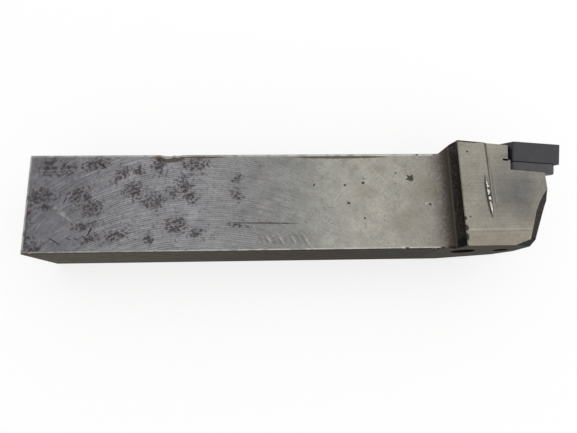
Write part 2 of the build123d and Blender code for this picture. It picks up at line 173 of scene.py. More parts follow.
# %% [markdown]
# ### Zones
# A soft mask for each kind of face. The normal tells a side from a bevel and from the
# steep part of the hollow, and the place tells the shank from the head. Each face could
# get a material of its own instead, but then every border would be as hard as the mesh.

# %% Mask the zones of the holder
SOFT = {"interpolation_type": "SMOOTHSTEP"}

on_shank = add(tree, "MapRange", {0: x, 1: STEP_START, 2: STEP_START - 1}, **SOFT)
raised = add(tree, "MapRange", {0: z, 1: SHANK_SIDE - 1.2, 2: SHANK_SIDE - 0.6}, **SOFT)
upward = add(tree, "MapRange", {0: facing_z, 1: 0.6, 2: 0.72, 4: raised}, **SOFT)
on_head = add(tree, "MapRange", {0: z, 1: HEAD_SIDE - 3.4, 2: HEAD_SIDE - 1.4, 4: upward}, **SOFT)
on_side = add(tree, "MapRange", {0: facing_z, 1: 0.8, 2: 0.9, 4: on_shank}, **SOFT)
on_base = add(tree, "MapRange", {0: facing_y, 1: -0.93, 2: -0.98}, **SOFT)
on_back = add(tree, "MapRange", {0: facing_z, 1: -0.93, 2: -0.98}, **SOFT)
print("masks so far:", len(tree.nodes), "nodes")

# %% Mask the broken edges and the faces left black
widest = add(tree, "Math", {0: facing_x}, operation="ABSOLUTE")
for component in (facing_y, facing_z):
    spread = add(tree, "Math", {0: component}, operation="ABSOLUTE")
    widest = add(tree, "Math", {0: widest, 1: spread}, operation="MAXIMUM")
on_edge = add(tree, "MapRange", {0: widest, 1: 0.95, 2: 0.8, 4: on_shank}, **SOFT)

machined = on_shank
for zone in (upward, on_base, on_back):
    machined = add(tree, "Math", {0: machined, 1: zone}, operation="MAXIMUM")
front = add(tree, "MapRange", {0: x, 1: BEVEL_START, 2: BEVEL_START + 2}, **SOFT)
bevel = add(tree, "MapRange", {0: facing_z, 1: 0.93, 2: 0.9, 4: front}, **SOFT)
bevel = add(tree, "MapRange", {0: facing_y, 1: -0.98, 2: -0.93, 4: bevel}, **SOFT)
machined = add(tree, "Math", {0: machined, 1: bevel}, operation="SUBTRACT", use_clamp=True)
print("edges and black faces:", len(tree.nodes), "nodes")

# %% [markdown]
# ### Cutter marks
# A large face mill leaves arcs. Each pass moves it across the bar, so every line is
# the same circle pushed a little further: the lines climb at the rear, lie level where
# the cutter's middle passed and fall towards the head, where the back of the cutter
# has crossed them with the mirrored arcs. In numbers, a line is where y minus the
# height of that circle at x keeps one value. A sine over it draws the even spacing,
# and a noise stretched along it makes the lines strong here and faint there. The other
# faces were ground lengthwise, so a noise stretched along the bar is enough for them.

# %% Draw the arcs
CUTTER_RADIUS = 84.0
CUTTER_X = -29.6                        # where the lines lie level
LINE_PITCH = 0.68
LEAST_ROOT = 0.05                       # keeps the root real beyond the circle

reach = add(tree, "Math", {0: x, 1: CUTTER_X}, operation="SUBTRACT")
reach = add(tree, "Math", {0: reach, 1: CUTTER_RADIUS}, operation="DIVIDE")
square = add(tree, "Math", {0: reach, 1: reach}, operation="MULTIPLY")
under_root = add(tree, "Math", {0: 1.0, 1: square}, operation="SUBTRACT")
under_root = add(tree, "Math", {0: under_root, 1: LEAST_ROOT}, operation="MAXIMUM")
rise = add(tree, "Math", {0: under_root}, operation="SQRT")
print("arcs of radius", CUTTER_RADIUS, "mm, one every", LINE_PITCH, "mm")

# %% Break the lines up and let the two sets meet
EVEN_SHARE = 0.16                       # strength of the even lines beside the broken ones
WANDER_REACH = 34.0                     # how far a slow noise moves the meeting place
WANDER_SIZE = 16.7                      # size of that noise
MEETING_START = 12.0
MEETING_END = 34.0


def arc_lines(side, streak, seed):
    """Arcs of the cutter's front (-1) or back (1): even lines, broken up along their length."""
    across = add(tree, "Math", {0: rise, 1: side * CUTTER_RADIUS, 2: y}, operation="MULTIPLY_ADD")
    phase = add(tree, "Math", {0: across, 1: tau / LINE_PITCH}, operation="MULTIPLY")
    even = add(tree, "Math", {0: phase}, operation="SINE")
    spaced = add(tree, "Math", {0: across, 1: 1 / LINE_PITCH}, operation="MULTIPLY")
    lengthwise = add(tree, "Math", {0: x, 1: 1 / streak}, operation="MULTIPLY")
    along = add(tree, "CombineXYZ", {0: spaced, 1: lengthwise, 2: seed})
    broken = add(tree, "TexNoise", {"Vector": along, "Scale": 1.0, "Detail": 2.0, "Roughness": 0.7})
    return add(tree, "Math", {0: even, 1: EVEN_SHARE, 2: broken}, operation="MULTIPLY_ADD")


climbing = arc_lines(-1, 7.0, 0)
falling = arc_lines(1, 5.0, 4)
crossed = add(tree, "Mix", {0: 0.5, 2: climbing, 3: falling})
wander = add(tree, "TexNoise", {"Vector": place, "Scale": 1 / WANDER_SIZE, "Detail": 2.0})
wandered = add(tree, "Math", {0: wander, 1: WANDER_REACH, 2: x}, operation="MULTIPLY_ADD")
meeting = add(tree, "MapRange", {0: wandered, 1: MEETING_START, 2: MEETING_END}, **SOFT)
arcs = add(tree, "Mix", {0: meeting, 2: climbing, 3: crossed})
print("arcs drawn:", len(tree.nodes), "nodes")

# %% Draw the lengthwise lines of the other faces
STREAK_LENGTH = 16.7
STREAK_WIDTH = 0.667                    # coarser than real grinding lines, which would not show

squeeze = (1 / STREAK_LENGTH, 1 / STREAK_WIDTH, 1 / STREAK_WIDTH)
stretched = add(tree, "Mapping", {0: place, "Scale": squeeze})
straight = add(tree, "TexNoise", {"Vector": stretched, "Scale": 1.0, "Detail": 4.0, "Roughness": 0.65})
lines = add(tree, "Mix", {0: on_side, 2: straight, 3: arcs})
print("lines in place:", len(tree.nodes), "nodes")

# %% [markdown]
# ### Colour along the bar
# Blue grey and dull at the rear, where hands and damp have been, lighter and warmer
# towards the head, and darker again just before the hollow, as painted shade of its dark
# wall. The change is slow and runs one way, so a colour ramp laid along the bar holds it
# in ten shades.

# %% Lay the base colour
# the last stop darkens the bar before the hollow: painted shade of the hollow's dark wall
SHADES = [                              # from the rear end (0) to the cutting tip (1)
    (0.0, "#6f6e72"), (0.08, "#717074"), (0.18, "#7f7e81"), (0.3, "#7e7d7f"), (0.42, "#747373"),
    (0.5, "#767673"), (0.57, "#85847e"), (0.64, "#8a877f"), (0.73, "#84817a"), (0.78, "#6f6b65"),
]

along = add(tree, "MapRange", {0: x, 1: REAR, 2: -REAR})
colour = add(tree, "ValToRGB", {0: along})
ramp = colour.node.color_ramp
ramp.elements.remove(ramp.elements[1])
for position, shade in SHADES:
    stop = ramp.elements[0] if position == 0 else ramp.elements.new(position)
    stop.position = position
    stop.color = linear(shade)
print(len(ramp.elements), "shades along the bar")

# %% [markdown]
# ### A way to lay marks
# Stains, pits, scratches and worn places are all laid in one way. Each is an ellipse
# that Mapping turns into a ball, and a spherical gradient tells how close a point is to
# its middle. The nearest ellipse wins, and a smooth step cuts the closeness into a mask
# with a hard or a soft border. A painted image would do it too, but an ellipse stays
# sharp at any size and is moved by changing one number. The coordinates are first
# shaken by a noise, or every border would be a drawn oval.

# %% Rag the border of a mark
def ragged(grain, amount):
    """Coordinates that noise has shaken by some mm, so that round marks get ragged borders."""
    shake = add(tree, "TexNoise", {
        "Vector": place, "Scale": 1 / grain, "Detail": 3.0, "Roughness": 0.65,
    }, out="Color")
    centred = add(tree, "VectorMath", {0: shake, 1: (0.5, 0.5, 0.5)}, operation="SUBTRACT")
    scaled = add(tree, "VectorMath", {0: centred, "Scale": amount}, operation="SCALE")
    return add(tree, "VectorMath", {0: place, 1: scaled}, operation="ADD")


BROAD_SHAKE = 4.0
FINE_SHAKE = 0.4

broad = ragged(2.5, BROAD_SHAKE)
fine = ragged(0.9, FINE_SHAKE)
print("borders are shaken by up to", BROAD_SHAKE / 2, "mm, or", FINE_SHAKE / 2, "mm for fine marks")

# %% Tell how close the nearest mark is
THROUGH = 1e6                           # a mark reaches through the whole bar
DULL_PATCH = [(69, 1.0, 22, 22, 0)]     # on the side of the head, below the insert


def nearest_mark(coordinates, marks):
    """Closeness to the nearest of some ellipses: x, y, length and width in mm, turn in degrees.

    It is 1 in the middle of an ellipse, 0.5 on its line and 0 at twice its size.
    """
    nearest = 0
    for mark_x, mark_y, length, width, turn in marks:
        size = (length, width, THROUGH)
        local = add(tree, "Mapping", {
            0: coordinates, 1: (mark_x, mark_y, 0), 2: (0, 0, radians(turn)), 3: size,
        }, vector_type="TEXTURE")
        closeness = add(tree, "TexGradient", {0: local}, out=1, gradient_type="SPHERICAL")
        nearest = add(tree, "Math", {0: nearest, 1: closeness}, operation="MAXIMUM")
    return nearest


patch = nearest_mark(broad, DULL_PATCH)
print("dull patch of", DULL_PATCH[0][2], "mm on the head")

# %% [markdown]
# ### The side of the head
# A warm grey with a duller patch below the insert, where chips and coolant have run,
# and a lighter strip along its foot, under a faint bright line. The leaning front edge
# is painted darker, as shade. Each of these is a mask of its own, and a loop mixes one
# over the other.

# %% Colour the side of the head
FOOT_STRIP = -11.0                      # the faint line above the strip lies here

dull = add(tree, "MapRange", {0: patch, 1: 0.32, 2: 0.95}, **SOFT)
# the leaning face is picked out by its normal and painted darker: painted shade
leaning_shade = add(tree, "MapRange", {0: facing_x, 1: 0.2, 2: 0.4, 4: 0.55}, **SOFT)
strip = add(tree, "MapRange", {0: y, 1: FOOT_STRIP, 2: FOOT_STRIP - 0.3, 4: 0.5}, **SOFT)
line = add(tree, "MapRange", {0: y, 1: FOOT_STRIP - 0.2, 2: FOOT_STRIP, 4: 0.7}, **SOFT)
line = add(tree, "MapRange", {0: y, 1: FOOT_STRIP + 0.25, 2: FOOT_STRIP + 0.05, 4: line}, **SOFT)
head_colour = linear("#7e7a71")
for zone, shade in ((dull, "#615f5c"), (leaning_shade, "#45413c"), (strip, "#7b756a"), (line, "#9a9589")):
    head_colour = add(tree, "Mix", {0: zone, 6: head_colour, 7: linear(shade)}, out=2, data_type="RGBA")
colour = add(tree, "Mix", {0: on_head, 6: colour, 7: head_colour}, out=2, data_type="RGBA")
print("head coloured:", len(tree.nodes), "nodes")

# %% [markdown]
# ### Light and shade of the lines
# The lines are only microns deep, so a bump shades them only faintly, and their light
# and shade is painted into the colour instead: it is scaled by the lines, and also by slow
# clouds and a fine grain of tone. Fingers and chips have browned a few places before the
# head, and these are
# laid as marks with very soft borders.

# %% Shade the lines and the clouds
CLOUD_SIZE = 5.0
GRAIN_SIZE = 0.526                      # coarser than real grit marks, which would not show

cloud = add(tree, "TexNoise", {"Vector": place, "Scale": 1 / CLOUD_SIZE, "Detail": 5.0, "Roughness": 0.62})
cloud = add(tree, "MapRange", {0: cloud, 1: 0.25, 2: 0.75, 3: 0.8, 4: 1.2})
grain = add(tree, "TexNoise", {"Vector": place, "Scale": 1 / GRAIN_SIZE, "Detail": 3.0, "Roughness": 0.75})
grain = add(tree, "MapRange", {0: grain, 1: 0.3, 2: 0.7, 3: 0.84, 4: 1.16})
# painted light and shade of the lines, stronger towards the rear
contrast = add(tree, "MapRange", {0: x, 1: -50, 2: 15, 3: 0.95, 4: 0.5})
light = add(tree, "MapRange", {0: lines, 1: 0.3, 2: 0.7, 3: -0.3, 4: 0.3}, clamp=False)
light = add(tree, "Math", {0: light, 1: contrast, 2: 1.0}, operation="MULTIPLY_ADD")
for layer in (cloud, grain):
    light = add(tree, "Math", {0: light, 1: layer}, operation="MULTIPLY")
colour = add(tree, "VectorMath", {0: colour, "Scale": light}, operation="SCALE")
print("lines shaded:", len(tree.nodes), "nodes")

# %% Brown the handled places
HANDLED = [
    (22.1, 3.3, 5, 5, 0), (20, 11.3, 5, 3, 30), (26.5, 10.7, 5, 3, 0),
    (42, 4, 9, 11, 0), (37, -7, 12, 9, 20),
]


def lay_marks(colour, marks, shade, amount, soft=0.5, coordinates=fine):
    """Paint marks over a colour, with borders as soft as asked. Return the colour and the mask."""
    mask = nearest_mark(coordinates, marks)
    mask = add(tree, "MapRange", {0: mask, 1: 0.5 - soft / 4, 2: 0.5 + soft / 4, 4: upward}, **SOFT)
    covered = add(tree, "Math", {0: mask, 1: amount}, operation="MULTIPLY")
    return add(tree, "Mix", {0: covered, 6: colour, 7: linear(shade)}, out=2, data_type="RGBA"), mask


colour = lay_marks(colour, HANDLED, "#6a6354", 0.34, soft=1.6, coordinates=broad)[0]
print(len(HANDLED), "handled places")

# %% [markdown]
# ### Stains
# Damp has bitten in patches: a bloom of fine dark specks over a faint tint, dense in
# the middle of a patch and thin around it. A noise gives the specks, and a list of soft
# ellipses says where it may bloom. Between them, over the rear half, only the strongest
# specks show. Where the noise of the hue is high, the rust is browner.

# %% Where the stains lie
# x, y, length and width in mm, turn in degrees
STAINS = [
    (-78.7, 12.0, 6.5, 5.2, 0), (-73.3, 11.6, 4.6, 3.2, 0), (-64.1, 13.0, 7.0, 4.0, 10),
    (-56.0, 8.9, 6.0, 3.4, 45), (-49.9, 10.8, 3.4, 3.0, 0), (-44.0, 12.6, 4.0, 6.6, 0),
    (-80.3, 2.3, 8.4, 4.0, 0), (-79.0, -1.2, 4.0, 2.2, 0), (-84.8, -3.3, 4.4, 6.0, 0),
    (-68.1, 2.4, 6.2, 5.0, 0), (-64.3, -1.4, 6.0, 4.8, 30), (-51.6, 4.0, 7.0, 4.6, 20),
    (-45.4, 1.0, 7.0, 5.2, 0), (-84.6, -11.0, 3.6, 6.6, 0), (-80.9, -13.9, 4.6, 2.8, 0),
    (-64.2, -11.5, 6.6, 2.8, 25), (-65.5, -7.0, 8.0, 2.2, 15), (-56.0, -10.3, 6.6, 3.4, 20),
    (-46.0, -12.2, 3.0, 3.4, 0), (-35.6, 5.0, 4.4, 7.0, 10), (-39.4, 4.0, 3.4, 3.4, 0),
    (-31.8, 12.6, 8.0, 4.4, 0), (-33.6, 1.6, 4.4, 3.0, 0), (-18.8, 7.7, 3.6, 2.6, 30),
    (-19.2, 2.7, 4.2, 3.4, -30), (-38.0, -7.6, 6.0, 5.4, 0), (-31.7, -9.9, 3.8, 2.2, 25),
    (-18.4, -7.8, 6.4, 1.3, -8),
]
STAINED_END = -10.0                     # from here to the head the side is nearly clean
print(len(STAINS), "stains")

# %% Bloom the stains
SPECK_SIZE = 0.87
HUE_SIZE = 2.5                          # size of the browner and the greyer places
PATCH_LIFT = 0.17                       # a patch lifts the noise by this much in its middle
REAR_LIFT = 0.05
SPECK_COVER = 0.66
TINT_COVER = 0.16                       # the faint tint under a whole patch

inside = nearest_mark(broad, STAINS)
inside = add(tree, "MapRange", {0: inside, 1: 0.05, 2: 0.8, 4: PATCH_LIFT}, **SOFT)
rearward = add(tree, "MapRange", {0: x, 1: STAINED_END + 4, 2: STAINED_END - 26, 4: REAR_LIFT}, **SOFT)
bloom = add(tree, "TexNoise", {"Vector": place, "Scale": 1 / SPECK_SIZE, "Detail": 4.0, "Roughness": 0.62})
for lift in (inside, rearward):
    bloom = add(tree, "Math", {0: bloom, 1: lift}, operation="ADD")
stained = add(tree, "MapRange", {0: bloom, 1: 0.58, 2: 0.8, 4: on_side}, **SOFT)
hue = add(tree, "TexNoise", {"Vector": place, "Scale": 1 / HUE_SIZE, "Detail": 2.0})
browner = add(tree, "MapRange", {0: hue, 1: 0.42, 2: 0.62}, **SOFT)
rust = add(tree, "Mix", {0: browner, 6: linear("#3f3d3f"), 7: linear("#473e36")}, out=2, data_type="RGBA")
covered = add(tree, "MapRange", {0: inside, 1: 0.02, 2: PATCH_LIFT, 4: on_side})
covered = add(tree, "Math", {0: covered, 1: TINT_COVER}, operation="MULTIPLY")
covered = add(tree, "Math", {0: stained, 1: SPECK_COVER, 2: covered}, operation="MULTIPLY_ADD")
colour = add(tree, "Mix", {0: covered, 6: colour, 7: rust}, out=2, data_type="RGBA")
print("stains in bloom:", len(tree.nodes), "nodes")

# %% [markdown]
# ### Base, black faces and edges
# The base face is dull under a brown film, streaked lengthwise by sliding in the tool
# post, and its colour is darker still as painted shade of a face turned from the light.
# A narrow band of the side along the base edge takes the same colour, as painted shade
# of a rounded edge. The unground faces are black oxide, rubbed thin in places. The hollow
# is darkened towards its wall, as painted shade with some grime in it. Along the edges
# the steel is worn bright, and the bright band is partly a painted highlight, with brown
# places near the top. The rim is found by measuring inwards from the rear, the top and the
# base, because an edge mask made of normals would show only the broken edge itself.

# %% Film the base and paint its shade
EDGE_SHADE_REACH = 0.4                     # the base colour, as painted shade of a rounded edge, reaches this far up the side
EDGE_BLUR = 0.05

film_tone = add(tree, "MapRange", {0: straight, 1: 0.35, 2: 0.65}, **SOFT)
film_and_shade = add(tree, "Mix", {
    0: film_tone, 6: linear("#2c2822"), 7: linear("#3d3830"),
}, out=2, data_type="RGBA")
film_rust = add(tree, "MapRange", {0: hue, 1: 0.45, 2: 0.68, 4: 0.75}, **SOFT)
film_and_shade = add(tree, "Mix", {0: film_rust, 6: film_and_shade, 7: linear("#2f261d")}, out=2, data_type="RGBA")
# the base colour is scaled lighter towards the rear end
base_level = add(tree, "MapRange", {0: x, 1: -60, 2: 15, 3: 1.85, 4: 0.8})
base_level = add(tree, "Mix", {0: on_shank, 2: 1.2, 3: base_level})
film_and_shade = add(tree, "VectorMath", {0: film_and_shade, "Scale": base_level}, operation="SCALE")
over_base = add(tree, "Math", {0: y, 1: BASE}, operation="SUBTRACT")
# a band along the base edge of the side is painted in the base colour: painted shade of a rounded edge
edge_band_shade = add(tree, "MapRange", {
    0: over_base, 1: EDGE_SHADE_REACH + EDGE_BLUR, 2: EDGE_SHADE_REACH - EDGE_BLUR, 4: upward,
}, **SOFT)
edge_band_shade = add(tree, "Math", {0: edge_band_shade, 1: on_shank}, operation="MULTIPLY")
filmed_and_shaded = add(tree, "Math", {0: on_base, 1: edge_band_shade}, operation="MAXIMUM")
colour = add(tree, "Mix", {0: filmed_and_shaded, 6: colour, 7: film_and_shade}, out=2, data_type="RGBA")
print("base filmed:", len(tree.nodes), "nodes")

# %% Blacken what was never ground
RUBBED_SIZE = 0.91
GRIME_TOP = BASE + 3.5                  # the bores that open in the base are blackest

rubbed = add(tree, "TexNoise", {"Vector": place, "Scale": 1 / RUBBED_SIZE, "Detail": 5.0, "Roughness": 0.65})
thin = add(tree, "MapRange", {0: rubbed, 1: 0.42, 2: 0.75}, **SOFT)
oxide = add(tree, "Mix", {0: thin, 6: linear("#231f1d"), 7: linear("#453f3a")}, out=2, data_type="RGBA")
grimy = add(tree, "MapRange", {0: y, 1: GRIME_TOP, 2: GRIME_TOP - 1.5, 4: 0.85}, **SOFT)
oxide = add(tree, "Mix", {0: grimy, 6: oxide, 7: linear("#0e0c0b")}, out=2, data_type="RGBA")
colour = add(tree, "Mix", {0: machined, 6: oxide, 7: colour}, out=2, data_type="RGBA")
print("black faces:", len(tree.nodes), "nodes")

# %% Darken the hollow: painted shade towards its wall, with some grime
hollow_shade_and_grime = add(tree, "MapRange", {0: x, 1: STEP_START - 2.5, 2: STEP_START + 4.2, 4: upward}, **SOFT)
hollow_shade_and_grime = add(tree, "MapRange", {0: z, 1: HEAD_SIDE - 0.8, 2: HEAD_SIDE - 3.0, 4: hollow_shade_and_grime}, **SOFT)
# darker towards the wall of the hollow: painted shade
shade_towards_wall = add(tree, "MapRange", {0: x, 1: STEP_START + 1, 2: STEP_END - 2, 3: 0.35, 4: 1.0})
patchy = add(tree, "MapRange", {0: rubbed, 1: 0.35, 2: 0.6, 3: shade_towards_wall, 4: 1.0}, **SOFT)
hollow_shade_and_grime = add(tree, "Math", {0: hollow_shade_and_grime, 1: patchy}, operation="MULTIPLY")
colour = add(tree, "Mix", {0: hollow_shade_and_grime, 6: colour, 7: linear("#3b342f")}, out=2, data_type="RGBA")
print("grime in the hollow:", len(tree.nodes), "nodes")

# %% Brighten the edges: wear and painted highlight
EDGE_WEAR_AND_HIGHLIGHT = 0.75                        # how far the bright band, wear and painted highlight, reaches in over the side
WORN_SIZE = 2.0                         # length of a bright place along the edge
WORN_BROWN = [(-40.3, 15.0, 9.5, 3.4, 0), (15, 14.9, 29, 1.1, 0), (-30, 15.1, 14, 0.7, 0)]

colour = lay_marks(colour, WORN_BROWN, "#453930", 0.8)[0]
inset = add(tree, "Math", {0: x, 1: REAR}, operation="SUBTRACT")
under_top = add(tree, "Math", {0: TOP, 1: y}, operation="SUBTRACT")
for gap in (under_top, over_base):
    inset = add(tree, "Math", {0: inset, 1: gap}, operation="MINIMUM")
rim = add(tree, "MapRange", {0: inset, 1: EDGE_WEAR_AND_HIGHLIGHT + 0.1, 2: EDGE_WEAR_AND_HIGHLIGHT - 0.15, 4: on_side}, **SOFT)
rim = add(tree, "Math", {0: rim, 1: on_edge}, operation="MAXIMUM")
rim = add(tree, "Math", {0: rim, 1: edge_band_shade}, operation="SUBTRACT", use_clamp=True)
worn = add(tree, "TexNoise", {"Vector": place, "Scale": 1 / WORN_SIZE, "Detail": 4.0})
# bright band along the edges: worn steel and painted highlight
worn_and_highlit = add(tree, "MapRange", {0: worn, 1: 0.35, 2: 0.6, 3: 0.3, 4: 0.9}, **SOFT)
worn_and_highlit = add(tree, "Math", {0: worn_and_highlit, 1: rim}, operation="MULTIPLY")
colour = add(tree, "Mix", {0: worn_and_highlit, 6: colour, 7: linear("#a5a39d")}, out=2, data_type="RGBA")
print("edges worn:", len(tree.nodes), "nodes")

# %% [markdown]
# ### Scratches, pits and dark lines
# Marks that a hand could feel: short scratches at the rear, a star-shaped pit near the
# head, small pits between, the rim along the head's top and the gash around its burr.
# They darken the steel, and they alone go into the relief. Fresh nicks shine instead,
# and the chatter strokes along the base edge, the smears beside the burr and a painted
# shade line along the small step beside it only darken a little. All of them are laid as
# ellipses, so each is one line of numbers.

# %% Where the scratches and pits lie
# x, y, length and width in mm, turn in degrees
SCRATCHES = [
    (-72.8, 1.0, 2.4, 0.34, 72), (-64.5, -9.1, 3.3, 0.55, 66), (-70.7, -11.4, 1.8, 0.3, -27),
    (-68.4, -11.5, 1.5, 0.3, -32), (-66.2, -10.9, 1.9, 0.3, -31), (-74.9, -12.1, 4.2, 0.34, -32),
    (-62.1, 12.6, 2.4, 0.4, -34), (-10.2, -7.0, 20, 0.3, -1), (-68.2, 12.2, 2.4, 0.25, 87),
]
PITS = [
    (6, 5.4, 0.4, 1.2, -30), (16, 5.3, 0.7, 0.6, 0), (17, -0.7, 1.0, 0.6, -20), (22, 6, 1.0, 0.8, 20),
    (22, -5.7, 0.6, 0.5, 0), (33, 9.3, 0.6, 0.5, 0), (43.5, -1.3, 1.1, 0.5, -40),
    (22.3, 7.4, 0.4, 0.5, 0), (54.6, 14.2, 0.6, 0.6, 0), (35.0, -15.6, 1.2, 0.7, 0),
    (46.5, -15.7, 1.4, 0.8, 0), (40.5, 15.6, 0.7, 0.5, 0), (51.8, -7.4, 0.8, 1.2, 0),
    (51.9, -10.4, 1.3, 1.9, 20), (51.9, -13.2, 1.0, 2.2, 0), (53.5, -7.0, 0.5, 0.5, 0),
]
STAR_PIT = [                            # a middle and three spurs
    (37.8, 7.4, 1.9, 1.8, 0), (37.3, 7.9, 2.0, 0.5, -42), (37.1, 7.2, 1.9, 0.5, 14),
    (38.1, 7.9, 1.7, 0.5, 65),
]
HEAD_RIM = (56.0, 17.7, 9.6, 0.75, -2.8)     # along the head's top
SCAR = (60.15, -0.6, 12.4, 94.1)        # the burr: x, y and length in mm, turn in degrees
scar_x, scar_y, scar_length, scar_turn = SCAR
SCAR_GASH = (scar_x - 0.2, scar_y, scar_length + 0.8, 1.5, scar_turn)
print(len(SCRATCHES), "scratches and", len(PITS) + 1, "pits")

# %% Where the strokes, smears, painted step shade and fresh nicks lie
CHATTER_START = -11.5
CHATTER_BASE = -12.0
CHATTER_PITCH = 1.95
CHATTER = []
for step in range(8):
    stroke_x = CHATTER_START + CHATTER_PITCH * step
    stroke_y = CHATTER_BASE - 0.4 * (step % 2)
    CHATTER.append((stroke_x, stroke_y, 2.4 + 0.5 * (step % 4), 0.7, -58))
# the first two are painted shade along the small step beside the burr; the others are smears
SMEARS_AND_STEP_SHADE = [
    (60.85, -1.2, 12, 0.35, 91), (61.8, 3.6, 18, 0.7, 91.3),
    (61.5, 11.8, 3.2, 0.9, 95), (69, 12.9, 5, 1.2, 0),
]
FRESH = [
    (-75.6, -1.4, 1.4, 1.0, 0), (-73.2, -3.4, 3.2, 1.4, -30), (-71.2, -5.2, 2.2, 0.8, -35),
    (-75.5, 11.0, 9, 0.35, 2), (-52.0, 13.4, 7, 0.4, 14), (14.2, 2.4, 6, 0.3, 52),
    (18.4, 11.8, 5, 0.3, 50), (27, 9, 7, 0.3, -48), (21, -9.5, 8, 0.3, -50), (34, -15.4, 1.8, 0.9, 0),
    (62.3, 0.5, 6, 0.3, 92), (-66, 9.5, 9, 0.35, 19), (-60, -4.5, 7, 0.35, 18), (-80, -7, 3, 0.4, 60),
    (-57.5, -8.5, 6, 0.35, 17), (42.6, -1.0, 1.6, 0.5, 20),
]
for stroke_x, stroke_y, length, width, turn in CHATTER[1::2]:
    FRESH.append((stroke_x + 0.9, stroke_y, length, 0.4, turn))
print(len(CHATTER), "strokes,", len(SMEARS_AND_STEP_SHADE), "smears and", len(FRESH), "fresh nicks")

# %% Lay the marks and cut the deep ones
broken = add(tree, "MapRange", {0: rubbed, 1: 0.42, 2: 0.58, 3: 0.1, 4: 0.6}, **SOFT)
colour = lay_marks(colour, FRESH, "#a8a5a2", broken, soft=1.2)[0]
colour = lay_marks(colour, CHATTER + SMEARS_AND_STEP_SHADE, "#45413c", 0.33, soft=1.5)[0]
colour, cut = lay_marks(colour, SCRATCHES, "#33302d", 0.85)
colour, pit = lay_marks(colour, PITS + STAR_PIT + [HEAD_RIM, SCAR_GASH], "#302d2a", 0.9)
mark = add(tree, "Math", {0: cut, 1: pit}, operation="MAXIMUM")
print("marks cut:", len(tree.nodes), "nodes")

# %% [markdown]
# ### Metal, roughness and relief
# Clean steel is metal to the shader, an oil film is not, and black oxide lies between
# them. Rust and film are rougher than milled steel, worn edges smoother. One Bump node
# then carries all the relief, with the lines a few microns high and the cuts much
# deeper: none of it would change the outline, so no mesh is needed for it.

# %% Set the metal and the roughness
tree.links.new(colour, shader.inputs["Base Color"])
metal = add(tree, "Mix", {0: machined, 2: 0.5, 3: 1.0})
metal = add(tree, "Mix", {0: filmed_and_shaded, 2: metal, 3: 0.0})
tree.links.new(metal, shader.inputs["Metallic"])

rough = add(tree, "MapRange", {0: lines, 1: 0.3, 2: 0.7, 3: 0.38, 4: 0.5})
rough = add(tree, "Mix", {0: stained, 2: rough, 3: 0.7})
rough = add(tree, "Mix", {0: machined, 2: 0.6, 3: rough})
rough = add(tree, "Mix", {0: filmed_and_shaded, 2: rough, 3: 0.85})
rough = add(tree, "Mix", {0: worn_and_highlit, 2: rough, 3: 0.32})
tree.links.new(rough, shader.inputs["Roughness"])
print("metal and roughness set:", len(tree.nodes), "nodes")

# %% Add the relief and paint the holder
LINE_DEPTH = 0.006
MARK_DEPTH = 0.12


def paint(part, material):
    """Give a part its finish."""
    part.data.materials.clear()
    part.data.materials.append(material)
    print(part.name, "is", material.name)


height = add(tree, "Math", {0: lines, 1: LINE_DEPTH}, operation="MULTIPLY")
height = add(tree, "Math", {0: mark, 1: -MARK_DEPTH, 2: height}, operation="MULTIPLY_ADD")
relief = add(tree, "Bump", {"Height": height, "Distance": MM, "Strength": 1.0})
tree.links.new(relief, shader.inputs["Normal"])
paint(parts["holder_body"], steel)

# %% [markdown]
# ## Carbide: the insert and its shim
# Both are pressed and sintered from tungsten carbide. The insert has a dark ceramic
# coating a few microns thick, smooth but not glossy, clouded and with a few paler
# specks. The shim is bare: a hard grey, with brown specks of coolant stain. One function
# mixes both, because they differ only in shades, roughness and specks.

# %% Mix the two carbides
CARBIDE_CLOUD = 2.86
CARBIDE_GRAIN = 0.1667                  # real grains are microns wide and would not show
CARBIDE_RELIEF = 0.004


def carbide(name, shades, roughness, speck_size, speck_shade, speck_amount):
    """Sintered carbide: fine grain, slow clouding and some specks."""
    material, tree, shader, place = start_material(name, 0.0, roughness)
    cloud = add(tree, "TexNoise", {"Vector": place, "Scale": 1 / CARBIDE_CLOUD, "Detail": 3.0})
    cloud = add(tree, "MapRange", {0: cloud, 1: 0.35, 2: 0.65}, **SOFT)
    dark, light = [linear(shade) for shade in shades]
    colour = add(tree, "Mix", {0: cloud, 6: dark, 7: light}, out=2, data_type="RGBA")
    specks = add(tree, "TexNoise", {"Vector": place, "Scale": 1 / speck_size, "Detail": 4.0})
    specks = add(tree, "MapRange", {0: specks, 1: 0.55, 2: 0.7, 4: speck_amount}, **SOFT)
    colour = add(tree, "Mix", {0: specks, 6: colour, 7: linear(speck_shade)}, out=2, data_type="RGBA")
    tree.links.new(colour, shader.inputs["Base Color"])
    grain = add(tree, "TexNoise", {"Vector": place, "Scale": 1 / CARBIDE_GRAIN, "Detail": 2.0})
    rough = add(tree, "MapRange", {0: grain, 1: 0.3, 2: 0.7, 3: roughness - 0.05, 4: roughness + 0.08})
    tree.links.new(rough, shader.inputs["Roughness"])
    bump = add(tree, "Bump", {"Height": grain, "Distance": CARBIDE_RELIEF * MM, "Strength": 1.0})
    tree.links.new(bump, shader.inputs["Normal"])
    return material


coated = carbide("ceramic_coated_carbide", ("#16151c", "#1d1c24"), 0.42, 1.5, "#2c2a2f", 0.5)
bare = carbide("bare_sintered_carbide", ("#333135", "#403d43"), 0.5, 0.7, "#54453c", 0.7)
paint(parts["cutting_insert"], coated)
paint(parts["shim"], bare)

# %% [markdown]
# ## The lock inside the head
# Lever and screw are heat-treated steel with a black oxide finish that sliding has
# rubbed thin. The split sleeve is bright spring steel. A noise lays the lighter, rubbed
# shade over the darker one, and it makes the rubbed places smoother too.

# %% Mix the lock's steels
LOCK_RUBBED = 1.11
LOCK_GRAIN = 0.2                        # coarser than real turning marks, which would not show
LOCK_RELIEF = 0.006


